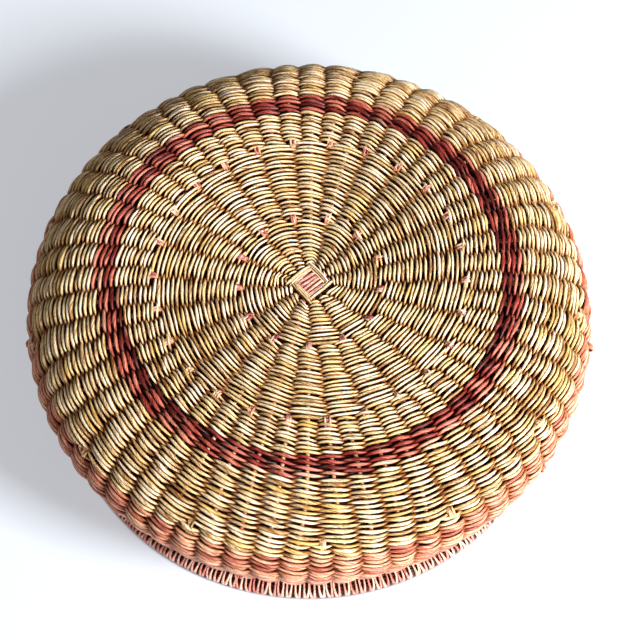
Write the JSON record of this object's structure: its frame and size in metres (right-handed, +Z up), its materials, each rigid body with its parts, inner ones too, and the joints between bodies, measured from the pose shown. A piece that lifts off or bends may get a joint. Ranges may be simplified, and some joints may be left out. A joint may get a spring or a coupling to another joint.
{
  "type": "egg basket",
  "caption": "Round twined straw basket with a rounded belly and whipped rim, lying on its mouth with its dished base up.",
  "frame": {"origin": "middle of the mouth on the surface that the rim stands on", "axes": "+Z up through the middle of the base, along the axis of the round form"},
  "size_m": [0.3, 0.2998, 0.1099],
  "materials": {
    "natural_straw": "dry twisted grass straw, satin where worn",
    "red_straw": "deep red dyed straw, satin",
    "pink_straw": "salmon dyed straw, satin",
    "stake_straw": "twisted stake straw, cut ends"
  },
  "bodies": {
    "root": {"base_weft_inner": "natural_straw", "base_weft_outer": "natural_straw", "first_ring_stake_01": "stake_straw", "first_ring_stake_02": "stake_straw", "first_ring_stake_03": "stake_straw", "first_ring_stake_04": "stake_straw", "first_ring_stake_05": "stake_straw", "first_ring_stake_06": "stake_straw", "first_ring_stake_07": "stake_straw", "first_ring_stake_08": "stake_straw", "first_ring_stake_09": "stake_straw", "first_ring_stake_10": "stake_straw", "first_ring_stake_11": "stake_straw", "first_ring_stake_12": "stake_straw", "first_ring_stake_13": "stake_straw", "pink_weft_inner": "pink_straw", "pink_weft_outer": "pink_straw", "red_weft_inner": "red_straw", "red_weft_outer": "red_straw", "rim_core": "stake_straw", "rim_whipping": "pink_straw", "second_ring_stake_01": "stake_straw", "second_ring_stake_02": "stake_straw", "second_ring_stake_03": "stake_straw", "second_ring_stake_04": "stake_straw", "second_ring_stake_05": "stake_straw", "second_ring_stake_06": "stake_straw", "second_ring_stake_07": "stake_straw", "second_ring_stake_08": "stake_straw", "second_ring_stake_09": "stake_straw", "second_ring_stake_10": "stake_straw", "second_ring_stake_11": "stake_straw", "second_ring_stake_12": "stake_straw", "second_ring_stake_13": "stake_straw", "second_ring_stake_14": "stake_straw", "second_ring_stake_15": "stake_straw", "second_ring_stake_16": "stake_straw", "second_ring_stake_17": "stake_straw", "second_ring_stake_18": "stake_straw", "second_ring_stake_19": "stake_straw", "second_ring_stake_20": "stake_straw", "second_ring_stake_21": "stake_straw", "second_ring_stake_22": "stake_straw", "second_ring_stake_23": "stake_straw", "second_ring_stake_24": "stake_straw", "second_ring_stake_25": "stake_straw", "second_ring_stake_26": "stake_straw", "start_binding": "natural_straw", "start_rod_1": "stake_straw", "start_rod_2": "stake_straw", "start_rod_3": "stake_straw", "start_rod_4": "stake_straw", "start_rod_5": "stake_straw", "start_rod_6": "stake_straw", "start_rod_single": "stake_straw", "wall_weft_inner": "natural_straw", "wall_weft_outer": "natural_straw"}
  },
  "joints": []
}
